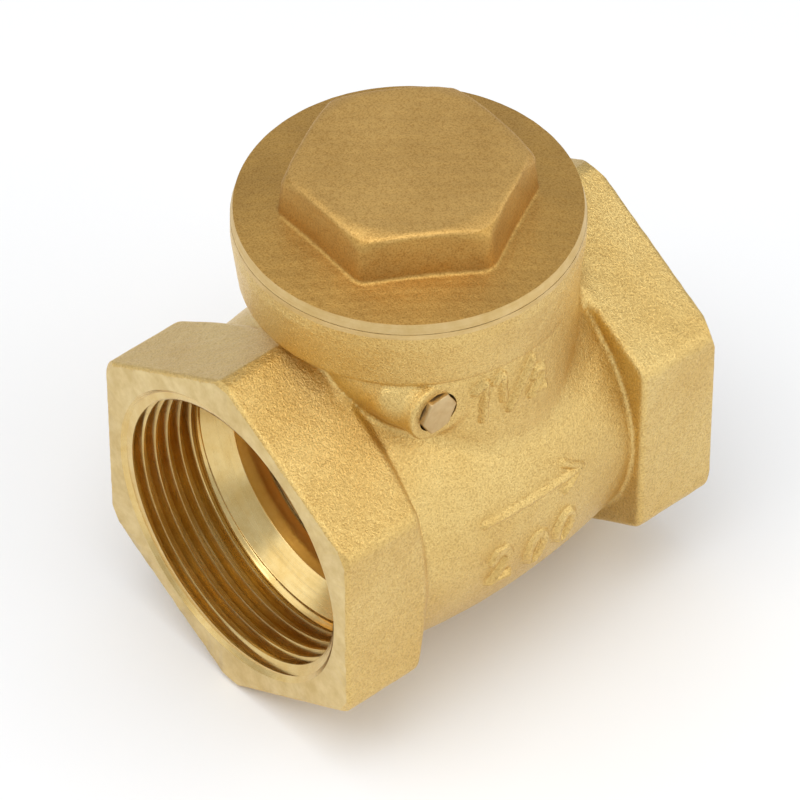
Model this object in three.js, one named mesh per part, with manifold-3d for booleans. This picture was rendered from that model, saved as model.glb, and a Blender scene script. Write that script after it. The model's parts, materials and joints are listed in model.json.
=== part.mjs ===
// A 1 1/2 inch swing check valve in cast brass: a straight body with two hexagonal female ends, a screwed
// cap with a hexagonal head, and inside it a flap of arm and disc that hangs from a cross pin.
// Millimetres. X runs along the pipe from inlet to outlet, Z points up through the cap, and the origin is
// the middle of the underside. Shapes are made around the pipe axis and then lifted by AXIS_HEIGHT.

import * as THREE from 'three';
import { mergeVertices } from 'three/addons/utils/BufferGeometryUtils.js';
import Module from 'manifold-3d';

const wasm = await Module();
wasm.setup();

// ---- driving dimensions ----
const GAP = 0.3; // clearance between two pieces that touch
const PAST = 1; // how far a cutter runs past the face that it cuts

const LENGTH = 72.5; // face to face
const ACROSS_FLATS = 55; // hexagonal ends
const HEX_LENGTH = 14;
const HEX_CORNER_RADIUS = 3;
const HEX_FACE_CHAMFER = 0.9;

const BARREL_RADIUS = 28.4; // at the fattest section of the bulged barrel
const BARREL_FATTEST_X = -2.5;
const BARREL_BULGE = 0.0055; // radius lost per square millimetre away from the fattest section

const THREAD_MAJOR_RADIUS = 47.803 / 2; // G 1 1/2 pipe thread
const THREAD_MINOR_RADIUS = 44.845 / 2;
const THREAD_PITCH = 25.4 / 11;
const THREAD_CHAMFER = 0.8;
const THREAD_TURNS = 5;
const RELIEF_DEPTH = 13.65; // where the plain bore behind the thread starts to cone down to the port
const SOCKET_DEPTH = 16.9;

const PORT_RADIUS = 18.7;
const SEAT_X = -15.3; // the plane that the disc closes on
const SEAT_OUTER_RADIUS = 20.3;
const SEAT_HEIGHT = 1;
const CHAMBER_RADIUS = 25.3;
const CHAMBER_END_RADIUS = 23.2;
const CHAMBER_OUTLET_X = 15;
const OUTLET_PORT_RADIUS = 20.2;

const NECK_X = -0.5; // axis of neck and cap
const NECK_MIDDLE_X = 1.2; // below its collar the neck is oval and stands further along the pipe
const NECK_HALF_LENGTH = 23.3;
const NECK_HALF_WIDTH = 24.2;
const NECK_BORE_RADIUS = 20.6;
const COLLAR_BOTTOM = 32.1;
const COLLAR_BOTTOM_RADIUS = 25;
const COLLAR_TOP_RADIUS = 26.4;
const NECK_TOP = 43.3;
const NECK_THREAD_RADIUS = 22.6;
const NECK_THREAD_BOTTOM = 35.9;
const GASKET_SEAT = 41.9;
const GASKET_OUTER_RADIUS = 24.5;

const CAP_RIM_RADIUS = 25.5;
const CAP_RIM_TOP = 45.2;
const CAP_CROWN = 46.8; // height of the flange where the hexagon stands on it
const CAP_CROWN_RADIUS = 17.5;
const CAP_HEX_TOP = 53.8;
const CAP_HEX_FLATS_BASE = 34.2;
const CAP_HEX_FLATS_TOP = 32.4;
const CAP_HEX_TURN = -2.6; // degrees that the screwed-down hexagon stands off square
const CAP_SKIRT_BOTTOM = 36.5;
const CAP_SKIRT_INNER_RADIUS = 18.6;
const CAP_ROOF = 43;
const CAP_POCKET_RADIUS = 12;
const CAP_POCKET_TOP = 49.6;

const PIN_X = -13.6;
const PIN_Z = 27;
const PIN_RADIUS = 2.4;
const PIN_NEAR_END = -15.4;
const PIN_FAR_END = 14.6;
const BOSS_RADIUS = 4.9;
const BOSS_FACE = -21.2;
const LUG_INNER_FACE = 10.5;
const LUG_FAR_END = 17.5;
const PLUG_FLATS = 6;
const PLUG_FACE = -22.2;
const PLUG_HEAD_BACK = -20.4;
const PLUG_SHANK_RADIUS = 3.2;
const PLUG_SHANK_END = -15.7;
const PLUG_POCKET_RADIUS = 3.9;

const DISC_RADIUS = 20;
const DISC_FACE = SEAT_X + 0.7; // upstream rim of the disc
const DISC_BACK = -10.6;
const SEAL_FACE = SEAT_X + GAP;
const SEAL_OUTER_RADIUS = 19.4;
const SEAL_INNER_RADIUS = 6.4;
const SEAL_BACK = -12.9;
const RETAINER_RADIUS = 16;
const RETAINER_THICKNESS = 0.9;
const SCREW_HEAD_RADIUS = 4.2;
const SCREW_HEAD_HEIGHT = 1.6;
const SCREW_SHANK_RADIUS = 1.7;
const SCREW_LENGTH = 7;
const STUD_RADIUS = 3;
const STUD_END = 1.6;
const ARM_BACK = -6.9;
const ARM_WIDTH = 9;
const ARM_EYE_RADIUS = 7;
const KNUCKLE_RADIUS = 4.2;
const KNUCKLE_HALF_LENGTH = 10;
const STUD_WASHER_RADIUS = 6;
const STUD_WASHER_THICKNESS = 1;
const STUD_NUT_FLATS = 10;
const STUD_NUT_HEIGHT = 4.2;
const COTTER_RADIUS = 0.6;
const COTTER_LENGTH = 11;
const COTTER_EYE_RADIUS = 1.3;

const AROUND = 48; // facets of a large turned surface
const AROUND_SMALL = 28; // facets of a small one

const toAcrossCorners = (flats) => flats / Math.sqrt(3);
const AXIS_HEIGHT = toAcrossCorners(ACROSS_FLATS) - HEX_CORNER_RADIUS * (2 / Math.sqrt(3) - 1);

// ---- solids ----

// The closed solid of a geometry: shared vertices merged, slivers dropped, faces turned outwards.
function solidOf(geometry) {
  const bare = geometry.clone();
  for (const name of ['normal', 'uv']) bare.deleteAttribute(name);
  const merged = mergeVertices(bare, 1e-4);
  const places = merged.getAttribute('position').array;
  const triangles = [];
  let volume = 0;
  const corners = [new THREE.Vector3(), new THREE.Vector3(), new THREE.Vector3()];
  for (let i = 0; i < merged.index.count; i += 3) {
    const [a, b, c] = [0, 1, 2].map((k) => merged.index.getX(i + k));
    if (a === b || b === c || c === a) continue;
    triangles.push([a, b, c]);
    [a, b, c].forEach((vertex, k) => corners[k].fromArray(places, 3 * vertex));
    volume += corners[0].dot(corners[1].clone().cross(corners[2])) / 6;
  }
  const turned = volume < 0 ? triangles.map(([a, b, c]) => [a, c, b]) : triangles;
  return new wasm.Manifold(new wasm.Mesh({
    numProp: 3,
    vertProperties: new Float32Array(places),
    triVerts: new Uint32Array(turned.flat()),
  }));
}

function geometryOf(solid) {
  const mesh = solid.getMesh();
  const geometry = new THREE.BufferGeometry();
  geometry.setAttribute('position', new THREE.BufferAttribute(mesh.vertProperties.slice(), 3));
  geometry.setIndex(new THREE.BufferAttribute(mesh.triVerts.slice(), 1));
  return geometry;
}

const joined = (first, ...rest) => rest.reduce((sum, solid) => sum.add(solid), first);
const cut = (first, ...rest) => rest.reduce((left, solid) => left.subtract(solid), first);

// Turned solids: profile is a list of [radius, place along the axis], from axis to axis or closed.
function turned(profile, facets) {
  return new THREE.LatheGeometry(profile.map(([radius, along]) => new THREE.Vector2(radius, along)), facets);
}
const turnedAboutX = (profile, facets = AROUND) => solidOf(turned(profile, facets).rotateZ(-Math.PI / 2));
const turnedAboutZ = (profile, facets = AROUND) => (
  solidOf(turned(profile, facets).rotateX(Math.PI / 2).translate(NECK_X, 0, 0)));

// A round bar along X or Y, between two places on that axis.
function rodAlongX(radius, from, to, facets = AROUND_SMALL) {
  return solidOf(new THREE.CylinderGeometry(radius, radius, to - from, facets)
    .rotateZ(-Math.PI / 2).translate((from + to) / 2, 0, 0));
}
function rodAlongY(radius, from, to, x, z, facets = AROUND_SMALL) {
  return solidOf(new THREE.CylinderGeometry(radius, radius, to - from, facets)
    .translate(x, (from + to) / 2, z));
}

// A ring or washer about X.
function ringAboutX(outer, inner, from, to, facets = AROUND) {
  return turnedAboutX([[inner, from], [outer, from], [outer, to], [inner, to], [inner, from]], facets);
}

// A hexagon with rounded corners, two corners on the shape's vertical axis.
function roundedHexagon(flats, cornerRadius, steps) {
  const centreReach = toAcrossCorners(flats) - cornerRadius * 2 / Math.sqrt(3);
  const points = [];
  for (let corner = 0; corner < 6; corner += 1) {
    const bearing = Math.PI / 2 + corner * Math.PI / 3;
    for (let step = 0; step <= steps; step += 1) {
      const angle = bearing + (step / steps - 0.5) * Math.PI / 3;
      points.push(new THREE.Vector2(
        centreReach * Math.cos(bearing) + cornerRadius * Math.cos(angle),
        centreReach * Math.sin(bearing) + cornerRadius * Math.sin(angle),
      ));
    }
  }
  return new THREE.Shape(points);
}

// ---- body ----

// One wrench hexagon, at the outlet for side 1 and the inlet for -1, turned down a little at its face's corners.
function endHexagon(side) {
  const end = LENGTH / 2;
  const prism = solidOf(new THREE.ExtrudeGeometry(
    roundedHexagon(ACROSS_FLATS, HEX_CORNER_RADIUS, 4),
    { depth: HEX_LENGTH, bevelEnabled: false },
  ).rotateX(Math.PI / 2).rotateZ(Math.PI / 2).translate(side > 0 ? end - HEX_LENGTH : -end, 0, 0));
  const full = AXIS_HEIGHT + PAST;
  const envelope = turnedAboutX([
    [0, 0],
    [full, 0],
    [full, side * (end - HEX_FACE_CHAMFER - PAST)],
    [AXIS_HEIGHT - HEX_FACE_CHAMFER, side * end],
    [0, side * end],
  ]);
  return prism.intersect(envelope);
}

function barrel() {
  const end = LENGTH / 2 - HEX_LENGTH / 2;
  const steps = 10;
  const profile = [[0, -end]];
  for (let step = 0; step <= steps; step += 1) {
    const x = -end + (2 * end * step) / steps;
    profile.push([BARREL_RADIUS - BARREL_BULGE * (x - BARREL_FATTEST_X) ** 2, x]);
  }
  profile.push([0, end]);
  return turnedAboutX(profile);
}

// An upright oval column as wide as the neck below its collar, less an inset.
function ovalColumn(bottom, top, inset) {
  return solidOf(new THREE.CylinderGeometry(1, 1, top - bottom, AROUND)
    .rotateX(Math.PI / 2)
    .scale(NECK_HALF_LENGTH - inset, NECK_HALF_WIDTH - inset, 1)
    .translate(NECK_MIDDLE_X, 0, (bottom + top) / 2));
}

// The neck and its tapered collar, which the cap screws into.
function neck() {
  const collar = turnedAboutZ([
    [0, COLLAR_BOTTOM - 0.4],
    [COLLAR_BOTTOM_RADIUS - 0.3, COLLAR_BOTTOM - 0.4],
    [COLLAR_BOTTOM_RADIUS, COLLAR_BOTTOM + 0.6],
    [COLLAR_TOP_RADIUS, NECK_TOP],
    [0, NECK_TOP],
  ]);
  return joined(ovalColumn(0, COLLAR_BOTTOM + PAST, 0), collar);
}

// Half of a threaded socket's outline, from its mouth inwards. The pipe thread is drawn as rings.
function socketProfile() {
  const mouth = LENGTH / 2;
  const profile = [
    [THREAD_MAJOR_RADIUS + THREAD_CHAMFER + PAST, mouth + PAST],
    [THREAD_MAJOR_RADIUS, mouth - THREAD_CHAMFER],
  ];
  for (let turn = 0; turn < THREAD_TURNS; turn += 1) {
    const crest = mouth - THREAD_CHAMFER - (turn + 0.5) * THREAD_PITCH;
    profile.push([THREAD_MINOR_RADIUS, crest]);
    profile.push([THREAD_MAJOR_RADIUS, crest - THREAD_PITCH / 2]);
  }
  profile.push([THREAD_MINOR_RADIUS + 0.2, mouth - RELIEF_DEPTH]);
  return profile;
}

// Everything hollow along the pipe axis: inlet socket, port, seat ring, chamber and outlet socket.
function flowPassage() {
  const mouth = LENGTH / 2;
  const socket = socketProfile();
  const inlet = socket.map(([radius, along]) => [radius, -along]);
  const outlet = socket.slice().reverse();
  return turnedAboutX([
    [0, -mouth - PAST],
    ...inlet,
    [PORT_RADIUS, -mouth + SOCKET_DEPTH],
    [PORT_RADIUS, SEAT_X],
    [SEAT_OUTER_RADIUS, SEAT_X],
    [SEAT_OUTER_RADIUS + 0.5, SEAT_X - SEAT_HEIGHT],
    [CHAMBER_END_RADIUS, SEAT_X - SEAT_HEIGHT],
    [CHAMBER_END_RADIUS + 1.2, SEAT_X + 2],
    [CHAMBER_RADIUS, -6],
    [CHAMBER_RADIUS, 6],
    [CHAMBER_END_RADIUS, CHAMBER_OUTLET_X],
    [OUTLET_PORT_RADIUS, mouth - SOCKET_DEPTH],
    ...outlet,
    [0, mouth + PAST],
  ]);
}

// The round well inside the neck. Below the shelf it stops short of the wall that carries the seat.
function neckWell() {
  const shelf = 25.2;
  const deepest = 8;
  const wallX = SEAT_X - SEAT_HEIGHT;
  const upper = turnedAboutZ([
    [0, shelf],
    [NECK_BORE_RADIUS, shelf],
    [NECK_BORE_RADIUS, NECK_THREAD_BOTTOM - 0.6],
    [NECK_THREAD_RADIUS, NECK_THREAD_BOTTOM],
    [NECK_THREAD_RADIUS, GASKET_SEAT],
    [GASKET_OUTER_RADIUS + GAP, GASKET_SEAT],
    [GASKET_OUTER_RADIUS + GAP, NECK_TOP + PAST],
    [0, NECK_TOP + PAST],
  ]);
  const lower = turnedAboutZ([
    [0, deepest],
    [NECK_BORE_RADIUS, deepest],
    [NECK_BORE_RADIUS, shelf + PAST],
    [0, shelf + PAST],
  ]);
  const span = 2 * LENGTH;
  const downstream = solidOf(new THREE.BoxGeometry(span, span, span).translate(wallX + span / 2, 0, 0));
  return joined(upper, lower.intersect(downstream));
}

function valveBody() {
  const onPin = [PIN_X, PIN_Z];
  const boss = rodAlongY(BOSS_RADIUS, BOSS_FACE, -LUG_INNER_FACE, ...onPin);
  const farLug = rodAlongY(BOSS_RADIUS, LUG_INNER_FACE, LUG_FAR_END, ...onPin)
    .intersect(ovalColumn(0, COLLAR_BOTTOM + PAST, 0.2));
  const knucklePocket = rodAlongY(KNUCKLE_RADIUS + 0.7, -LUG_INNER_FACE, LUG_INNER_FACE, ...onPin);
  const pinHole = rodAlongY(PIN_RADIUS + GAP, PLUG_SHANK_END, PIN_FAR_END + GAP, ...onPin);
  const plugHole = rodAlongY(PLUG_SHANK_RADIUS + GAP, PLUG_HEAD_BACK, PLUG_SHANK_END + GAP, ...onPin);
  const plugPocket = rodAlongY(PLUG_POCKET_RADIUS, BOSS_FACE - PAST, PLUG_HEAD_BACK + GAP, ...onPin);
  const casting = joined(endHexagon(-1), endHexagon(1), barrel(), neck());
  const hollow = cut(casting, flowPassage(), neckWell(), knucklePocket);
  return cut(joined(hollow, boss, farLug), pinHole, plugHole, plugPocket);
}

// ---- cap ----

function cap() {
  const hexHeight = CAP_HEX_TOP - CAP_RIM_TOP;
  const hexagon = solidOf(new THREE.CylinderGeometry(
    toAcrossCorners(CAP_HEX_FLATS_TOP),
    toAcrossCorners(CAP_HEX_FLATS_BASE),
    hexHeight,
    6,
  ).rotateX(Math.PI / 2).rotateZ(THREE.MathUtils.degToRad(CAP_HEX_TURN))
    .translate(NECK_X, 0, CAP_RIM_TOP + hexHeight / 2));
  const cornerReach = toAcrossCorners(CAP_HEX_FLATS_TOP);
  const cone = turnedAboutZ([
    [0, CAP_RIM_TOP - PAST],
    [cornerReach + 3, CAP_RIM_TOP - PAST],
    [cornerReach + 3, CAP_HEX_TOP - 3],
    [cornerReach - 1.6, CAP_HEX_TOP],
    [0, CAP_HEX_TOP],
  ]);
  const plate = turnedAboutZ([
    [0, CAP_SKIRT_BOTTOM],
    [NECK_THREAD_RADIUS - 1.1, CAP_SKIRT_BOTTOM],
    [NECK_THREAD_RADIUS - 0.4, CAP_SKIRT_BOTTOM + 0.7],
    [NECK_THREAD_RADIUS - 0.4, NECK_TOP + GAP],
    [COLLAR_TOP_RADIUS, NECK_TOP + GAP],
    [CAP_RIM_RADIUS, CAP_RIM_TOP],
    [CAP_CROWN_RADIUS, CAP_CROWN],
    [0, CAP_CROWN],
  ]);
  const hollow = turnedAboutZ([
    [0, CAP_SKIRT_BOTTOM - PAST],
    [CAP_SKIRT_INNER_RADIUS, CAP_SKIRT_BOTTOM - PAST],
    [CAP_SKIRT_INNER_RADIUS, CAP_ROOF],
    [CAP_POCKET_RADIUS, CAP_ROOF],
    [CAP_POCKET_RADIUS - 1, CAP_POCKET_TOP],
    [0, CAP_POCKET_TOP],
  ]);
  return cut(joined(plate, hexagon.intersect(cone)), hollow);
}

function capGasket() {
  const [bottom, top] = [GASKET_SEAT + GAP, NECK_TOP];
  const inner = NECK_THREAD_RADIUS + GAP;
  return turnedAboutZ([
    [inner, bottom],
    [GASKET_OUTER_RADIUS, bottom],
    [GASKET_OUTER_RADIUS, top],
    [inner, top],
    [inner, bottom],
  ]);
}

// ---- hinge ----

const hingePin = () => rodAlongY(PIN_RADIUS, PIN_NEAR_END, PIN_FAR_END, PIN_X, PIN_Z);

function hingePlug() {
  const head = solidOf(new THREE.CylinderGeometry(
    toAcrossCorners(PLUG_FLATS),
    toAcrossCorners(PLUG_FLATS),
    PLUG_HEAD_BACK - PLUG_FACE,
    6,
  ).rotateY(Math.PI / 6).translate(PIN_X, (PLUG_HEAD_BACK + PLUG_FACE) / 2, PIN_Z));
  const shank = rodAlongY(PLUG_SHANK_RADIUS, PLUG_HEAD_BACK - 0.2, PLUG_SHANK_END, PIN_X, PIN_Z);
  return joined(head, shank);
}

function swingArm() {
  const front = DISC_BACK + GAP;
  const outline = new THREE.Shape([
    [front, 0],
    [ARM_BACK, 0],
    [ARM_BACK, 15],
    [PIN_X + KNUCKLE_RADIUS - 0.2, PIN_Z + 1],
    [PIN_X, PIN_Z + KNUCKLE_RADIUS - 1.2],
    [PIN_X, PIN_Z - KNUCKLE_RADIUS + 1.2],
    [front, DISC_RADIUS + 0.6],
  ].map(([x, z]) => new THREE.Vector2(x, z)));
  const bar = solidOf(new THREE.ExtrudeGeometry(outline, { depth: ARM_WIDTH, bevelEnabled: false })
    .translate(0, 0, -ARM_WIDTH / 2).rotateX(Math.PI / 2));
  const knuckle = rodAlongY(KNUCKLE_RADIUS, -KNUCKLE_HALF_LENGTH, KNUCKLE_HALF_LENGTH, PIN_X, PIN_Z);
  const eye = rodAlongX(ARM_EYE_RADIUS, front, ARM_BACK);
  const pinHole = rodAlongY(
    PIN_RADIUS + GAP,
    -KNUCKLE_HALF_LENGTH - PAST,
    KNUCKLE_HALF_LENGTH + PAST,
    PIN_X,
    PIN_Z,
  );
  const studHole = rodAlongX(STUD_RADIUS + 0.4, front - PAST, ARM_BACK + PAST);
  return cut(joined(bar, knuckle, eye), pinHole, studHole);
}

// ---- disc and what is bolted to it ----

function disc() {
  const body = turnedAboutX([
    [0, SEAL_BACK + GAP],
    [SEAL_OUTER_RADIUS - 0.6 + GAP, SEAL_BACK + GAP],
    [SEAL_OUTER_RADIUS + GAP, DISC_FACE],
    [DISC_RADIUS, DISC_FACE],
    [DISC_RADIUS, DISC_BACK - 1],
    [DISC_RADIUS - 1.5, DISC_BACK],
    [STUD_RADIUS, DISC_BACK],
    [STUD_RADIUS, STUD_END - 0.6],
    [STUD_RADIUS - 0.6, STUD_END],
    [0, STUD_END],
  ]);
  const hub = rodAlongX(SEAL_INNER_RADIUS - GAP, SEAL_FACE, DISC_BACK - 1);
  const screwHole = rodAlongX(
    SCREW_SHANK_RADIUS + GAP,
    SEAL_FACE - PAST,
    SEAL_FACE + SCREW_LENGTH,
  );
  const cotterX = STUD_END - 1.4;
  const cotterHole = rodAlongY(COTTER_RADIUS + 0.2, -5, 5, cotterX, 0, 12);
  return cut(joined(body, hub), screwHole, cotterHole);
}

const discSeal = () => ringAboutX(SEAL_OUTER_RADIUS - 0.6, SEAL_INNER_RADIUS, SEAL_FACE, SEAL_BACK);

const retainerFace = SEAL_FACE - GAP - RETAINER_THICKNESS;
const sealRetainer = () => ringAboutX(RETAINER_RADIUS, 2.2, retainerFace, SEAL_FACE - GAP);

function retainerScrew() {
  const back = retainerFace - GAP;
  return turnedAboutX([
    [0, back - SCREW_HEAD_HEIGHT],
    [SCREW_HEAD_RADIUS - 1.2, back - SCREW_HEAD_HEIGHT],
    [SCREW_HEAD_RADIUS, back - SCREW_HEAD_HEIGHT + 0.9],
    [SCREW_HEAD_RADIUS, back],
    [SCREW_SHANK_RADIUS, back],
    [SCREW_SHANK_RADIUS, back + SCREW_LENGTH],
    [0, back + SCREW_LENGTH],
  ], AROUND_SMALL);
}

const washerFront = ARM_BACK + GAP;
const studWasher = () => (
  ringAboutX(STUD_WASHER_RADIUS, STUD_RADIUS + GAP, washerFront, washerFront + STUD_WASHER_THICKNESS, 40));

const nutFront = washerFront + STUD_WASHER_THICKNESS + GAP;
function studNut() {
  const radius = toAcrossCorners(STUD_NUT_FLATS);
  const block = solidOf(new THREE.CylinderGeometry(radius, radius, STUD_NUT_HEIGHT, 6)
    .rotateZ(-Math.PI / 2).translate(nutFront + STUD_NUT_HEIGHT / 2, 0, 0));
  const hole = rodAlongX(STUD_RADIUS + GAP, nutFront - PAST, nutFront + STUD_NUT_HEIGHT + PAST);
  return cut(block, hole);
}

// A split pin across the stud's end: a straight shank with a ring-shaped eye at one end.
function cotterPin() {
  const x = STUD_END - 1.4;
  const shank = rodAlongY(COTTER_RADIUS, -COTTER_LENGTH / 2, COTTER_LENGTH / 2, x, 0, 12);
  const eye = solidOf(new THREE.TorusGeometry(COTTER_EYE_RADIUS, COTTER_RADIUS, 8, 16)
    .translate(x, COTTER_LENGTH / 2 + COTTER_EYE_RADIUS, 0));
  return joined(shank, eye);
}

// ---- assembly ----

const castBrass = { color: 0xc9a45c, roughness: 0.5, metalness: 1 };
const capBrass = { color: 0xb98f48, roughness: 0.55, metalness: 1 };
const turnedBrass = { color: 0xd6b469, roughness: 0.3, metalness: 1 };
const steel = { color: 0xb4b2ad, roughness: 0.35, metalness: 1 };
const rubber = { color: 0x1c1c1c, roughness: 0.8, metalness: 0 };
const fibre = { color: 0xd8d4c8, roughness: 0.7, metalness: 0 };

const valve = new THREE.Group();
valve.position.z = AXIS_HEIGHT;

const pieces = [
  ['valve_body', valveBody, castBrass],
  ['cap', cap, capBrass],
  ['cap_gasket', capGasket, fibre],
  ['hinge_pin', hingePin, steel],
  ['hinge_plug', hingePlug, turnedBrass],
  ['swing_arm', swingArm, castBrass],
  ['disc', disc, turnedBrass],
  ['disc_seal', discSeal, rubber],
  ['seal_retainer', sealRetainer, steel],
  ['retainer_screw', retainerScrew, steel],
  ['stud_washer', studWasher, steel],
  ['stud_nut', studNut, turnedBrass],
  ['cotter_pin', cotterPin, steel],
];

for (const [name, make, finish] of pieces) {
  const mesh = new THREE.Mesh(geometryOf(make()), new THREE.MeshStandardMaterial(finish));
  mesh.name = name;
  valve.add(mesh);
}

const root = new THREE.Group();
root.add(valve);

export default root;
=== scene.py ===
"""A 1 1/2 inch swing check valve in shot-blasted cast brass, seen from above its inlet end.

Shapes are made in millimetres with the pipe axis along X through the origin and Z up through the
cap, and put_in_row() turns them into metres and lifts them onto the floor.
"""

import json
import math

import bmesh
import bpy
import numpy as np
from mathutils import Matrix, Vector


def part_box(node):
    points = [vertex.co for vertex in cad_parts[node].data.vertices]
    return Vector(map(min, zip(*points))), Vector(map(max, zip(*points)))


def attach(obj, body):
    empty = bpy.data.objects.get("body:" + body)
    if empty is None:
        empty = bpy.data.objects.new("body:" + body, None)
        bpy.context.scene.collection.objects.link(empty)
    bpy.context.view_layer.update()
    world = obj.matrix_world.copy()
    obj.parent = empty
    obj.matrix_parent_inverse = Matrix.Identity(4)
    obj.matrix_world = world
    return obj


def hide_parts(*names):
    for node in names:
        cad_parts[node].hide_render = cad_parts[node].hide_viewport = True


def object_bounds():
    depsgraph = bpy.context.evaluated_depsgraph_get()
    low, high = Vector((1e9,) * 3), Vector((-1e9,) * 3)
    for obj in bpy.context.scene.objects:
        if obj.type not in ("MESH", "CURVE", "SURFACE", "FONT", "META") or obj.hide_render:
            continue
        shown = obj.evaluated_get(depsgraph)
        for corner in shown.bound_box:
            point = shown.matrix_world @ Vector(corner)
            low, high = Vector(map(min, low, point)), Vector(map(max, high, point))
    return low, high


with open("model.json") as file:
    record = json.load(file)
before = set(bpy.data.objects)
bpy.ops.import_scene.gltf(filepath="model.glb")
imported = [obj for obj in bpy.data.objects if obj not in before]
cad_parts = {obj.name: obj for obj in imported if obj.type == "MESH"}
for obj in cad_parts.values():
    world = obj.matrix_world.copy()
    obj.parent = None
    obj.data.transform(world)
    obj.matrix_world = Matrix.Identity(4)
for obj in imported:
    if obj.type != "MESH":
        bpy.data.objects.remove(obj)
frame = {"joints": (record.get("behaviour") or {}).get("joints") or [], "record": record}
cad_low, cad_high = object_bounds()

MM = 0.001

# ---- places and sizes that the frame gives, in millimetres about the pipe axis ----
mounts = {mount["name"]: mount["pos_m"] for mount in frame["record"]["mounts"]}
joints = {joint["name"]: joint.get("pos_m") for joint in frame["joints"]}
AXIS_Z = mounts["inlet_wrench_flat"][2] / MM
FLAT = -mounts["inlet_wrench_flat"][1] / MM
END = -mounts["inlet_end"][0] / MM
NECK_X = joints["cap_turn"][0] / MM
PIN_X = joints["arm_swing"][0] / MM
PIN_Z = joints["arm_swing"][2] / MM - AXIS_Z


def node_box(node):
    """A CAD node's lowest and highest corners, in millimetres about the pipe axis."""
    lift = np.array([0, 0, AXIS_Z])
    return [np.array(corner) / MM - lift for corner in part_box(node)]


cap_low, cap_high = node_box("cap")
plug_low, plug_high = node_box("hinge_plug")
pin_low, pin_high = node_box("hinge_pin")
disc_low, disc_high = node_box("disc")

# ---- casting ----
CAST_STEP = 0.4
INLET_HEX_REAR = 20.7  # at the middle of a flat; the corners end nearer the inlet
HEX_REAR_CONE = 0.4
OUTLET_HEX_REAR = 21.5
HEX_CORNER = 2.6
HEX_EDGE = 0.8
HEX_FILLET = 0.8
HEX_STRIP = 31.2  # half height at which the parting strip cuts the top and bottom corners
BARREL_RADIUS = 28.1
BARREL_FATTEST_X = -2.5
BARREL_BULGE = 0.0046
NECK_MIDDLE_X = 1.2
NECK_MIDDLE_Z = 18
NECK_HALF_LENGTH = 23.3
NECK_HALF_WIDTH = 24.2
NECK_MEAN_RADIUS = 23.7
NECK_IN_COLLAR = 2  # how far the neck itself reaches up inside the collar
NECK_EDGE = 0.5
NECK_FILLET = 0.9
NECK_FILLET_GAIN = 2.4  # how much wider that fillet is on the outlet side
NECK_TOP = 43.53
COLLAR_BOTTOM = 32.1
COLLAR_HEIGHT = 13.5
COLLAR_BOTTOM_RADIUS = 25
COLLAR_TOP_RADIUS = 25.95
COLLAR_TAPER_TOP = 40.5
COLLAR_EDGE = 1
COLLAR_FILLET = 0.6
WEB_BACK = 2.6  # from the hinge's axis towards the inlet
WEB_RISE = 1.6
WEB_RADIUS = 4.3
WEB_MIDDLE_Y = -12.5
WEB_HALF_LENGTH = 5.2
WEB_EDGE = 2
WEB_FILLET = 2.5
BOSS_RADIUS = 4.9
BOSS_FACE = -21.2
BOSS_HALF_LENGTH = 7
BOSS_EDGE = 0.4
BOSS_FILLET = 2.2
END_SPARE = 0.02  # left on the ends, for the keeper to cut off
END_EDGE = 0.6

# ---- cap ----
SEAM_TOP = 43.58
CAP_LEVEL = 45.2  # the plate's top, out at its edge
CAP_CROWN = 1.1  # how much higher the plate is around the hexagon
CAP_CROWN_RADIUS = 25.5
CAP_CROWN_WIDTH = 8.5
CAP_PLATE_RADIUS = 27.5
CAP_PLATE_FLOOR = 41
CAP_PLATE_EDGE = 0.4
CAP_FILLET = 0.4
CAP_HEX_TURN = math.radians(-2.6)
CAP_HEX_FLAT = 16.9
CAP_HEX_CORNER = 2.4
CAP_HEX_EDGE = 0.6
CAP_HEX_FLOOR = 44
CAP_HEX_HEIGHT = 8.6
CAP_HEX_DRAFT = 0.9  # over that height
CAP_HEX_DRAFT_COSINE = 0.995
CAP_TOP_SPARE = 0.07  # keeps the waviness of the top under the CAD's
CAP_TOP_CROWN = 0.0003
CAP_CHAMFER_RADIUS = 16.2
CAP_CHAMFER_SLOPE = 1.5
CAP_CHAMFER_COSINE = 0.555
CAP_CHAMFER_EDGE = 0.8
CAP_WAVINESS = 1.3

# ---- sockets, chamber and hinge ----
PITCH = 25.4 / 11
MAJOR = 47.803 / 2
MINOR = 44.845 / 2
THREAD_FADE = 3
SHOULDER_X = 19.35
RELIEF_X = 22.6
PORT_RADIUS = 18.6
SEAT_X = -15.3
CHAMBER_RADIUS = 25.3
OUTLET_PORT_RADIUS = 20.2
NECK_BORE = 20.6
CAP_PITCH = 1.5
CAP_THREAD_MAJOR = 22.6
CAP_THREAD_MINOR = 21.65
LUG_RADIUS = 4.8
KNUCKLE_ROOM = 10.5  # half of its length
PIN_HOLE_RADIUS = 2.7
PLUG_HOLE_RADIUS = 3.3
THREAD_SEGMENTS = 160
THREAD_ROWS = 12  # rows of points across one pitch

SIN60 = math.sqrt(3) / 2


# ---------------------------------------------------------------- distances

def hexagon(u, v, flat, corner):
    """Distance to a hexagon whose flats are at v = -flat and v = flat, with rounded corners."""
    reach = flat - corner
    u, v = np.abs(u), np.abs(v)
    fold = 2 * np.minimum(0.5 * v - SIN60 * u, 0)
    u, v = u + SIN60 * fold, v - 0.5 * fold
    half_side = reach / math.sqrt(3)
    u = u - np.clip(u, -half_side, half_side)
    v = v - reach
    return np.sign(v) * np.hypot(u, v) - corner


def block(outline, along, edge):
    """Distance to a prism with rounded edges, from those to its outline and to its end planes."""
    a, b = outline + edge, along + edge
    return np.minimum(np.maximum(a, b), 0) + np.hypot(np.maximum(a, 0), np.maximum(b, 0)) - edge


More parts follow.
